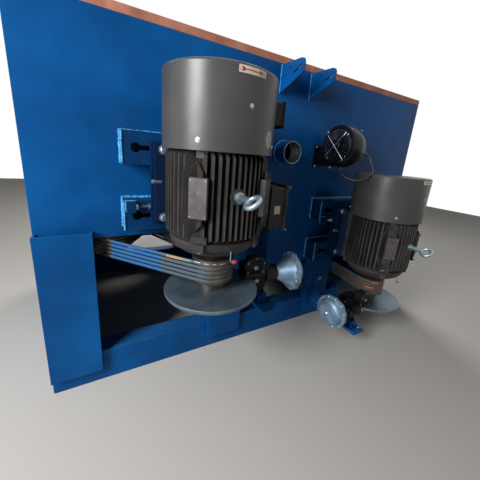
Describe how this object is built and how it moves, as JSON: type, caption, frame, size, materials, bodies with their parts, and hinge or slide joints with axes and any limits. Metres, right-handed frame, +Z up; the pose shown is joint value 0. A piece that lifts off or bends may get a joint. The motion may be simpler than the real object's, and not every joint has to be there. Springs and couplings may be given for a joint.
{
  "type": "wire drawing machine",
  "caption": "Straight-line wire drawing machine section with vertical belt-drive motors, pneumatic disc brakes, blower, drums and a welded frame.",
  "frame": {"origin": "on the floor, on the underside of the rear base rail, under the rear wall's outer face and at the middle of the machine's length", "axes": "+X along the machine, +Y from the motor side into the machine, +Z up"},
  "size_m": [2.7, 2.1409, 1.834],
  "materials": {
    "blue_paint": "satin machine enamel",
    "rim_primer": "matt primer",
    "motor_grey": "satin enamel on cast iron and sheet",
    "bare_steel": "turned",
    "cast_pulley": "machined",
    "galvanised": "zinc plated",
    "black_paint": "satin",
    "belt_rubber": "wrapped V-belt",
    "drum_steel": "ground and coated",
    "cable_black": "cable sheath"
  },
  "bodies": {
    "frame": {"base_rail_rear": "blue_paint", "base_rail_front": "blue_paint", "end_rails": "blue_paint", "rear_legs": "blue_paint", "front_wall": "blue_paint", "end_wall_left": "blue_paint", "end_wall_right": "blue_paint", "inner_wall": "blue_paint", "deck": "blue_paint", "back_wall": "blue_paint", "top_rim": "rim_primer", "wall_ribs": "blue_paint", "slide_rails_1": "blue_paint", "slide_rails_2": "blue_paint", "motor_plate_1": "blue_paint", "motor_plate_2": "blue_paint", "motor_frame_1": "motor_grey", "motor_frame_2": "motor_grey", "motor_cowl_1": "motor_grey", "motor_cowl_2": "motor_grey", "eyebolts": "galvanised", "fan_boxes": "black_paint", "end_shield_1": "motor_grey", "end_shield_2": "motor_grey", "terminal_box_1": "motor_grey", "terminal_box_2": "motor_grey", "belts_1": "belt_rubber", "belts_2": "belt_rubber", "big_pulley_1": "cast_pulley", "big_pulley_2": "cast_pulley", "gear_case_1": "blue_paint", "gear_case_2": "blue_paint", "drum_1": "drum_steel", "drum_2": "drum_steel", "die_box_1": "blue_paint", "die_box_2": "blue_paint", "brake_bracket_1": "blue_paint", "brake_bracket_2": "blue_paint", "brake_caliper_1": "black_paint", "brake_caliper_2": "black_paint", "air_chamber_1": "galvanised", "air_chamber_2": "galvanised", "blower": "black_paint", "blower_grille": "bare_steel", "blower_cable": "cable_black", "wall_duct": "galvanised", "pipe_stub": "blue_paint", "wall_ears": "blue_paint"},
    "rotor_1": {"motor_shaft_1": "bare_steel", "motor_pulley_1": "cast_pulley", "brake_disc_1": "bare_steel"},
    "rotor_2": {"motor_shaft_2": "bare_steel", "motor_pulley_2": "cast_pulley", "brake_disc_2": "bare_steel"}
  },
  "joints": [
    {"name": "rotor_1_spin", "type": "hinge", "parent": "frame", "child": "rotor_1", "pos_m": [-0.647, -0.35, 0.7], "axis": [0, 0, 1], "continuous": true},
    {"name": "rotor_2_spin", "type": "hinge", "parent": "frame", "child": "rotor_2", "pos_m": [0.60688, -0.35, 0.365], "axis": [0, 0, 1], "continuous": true}
  ]
}
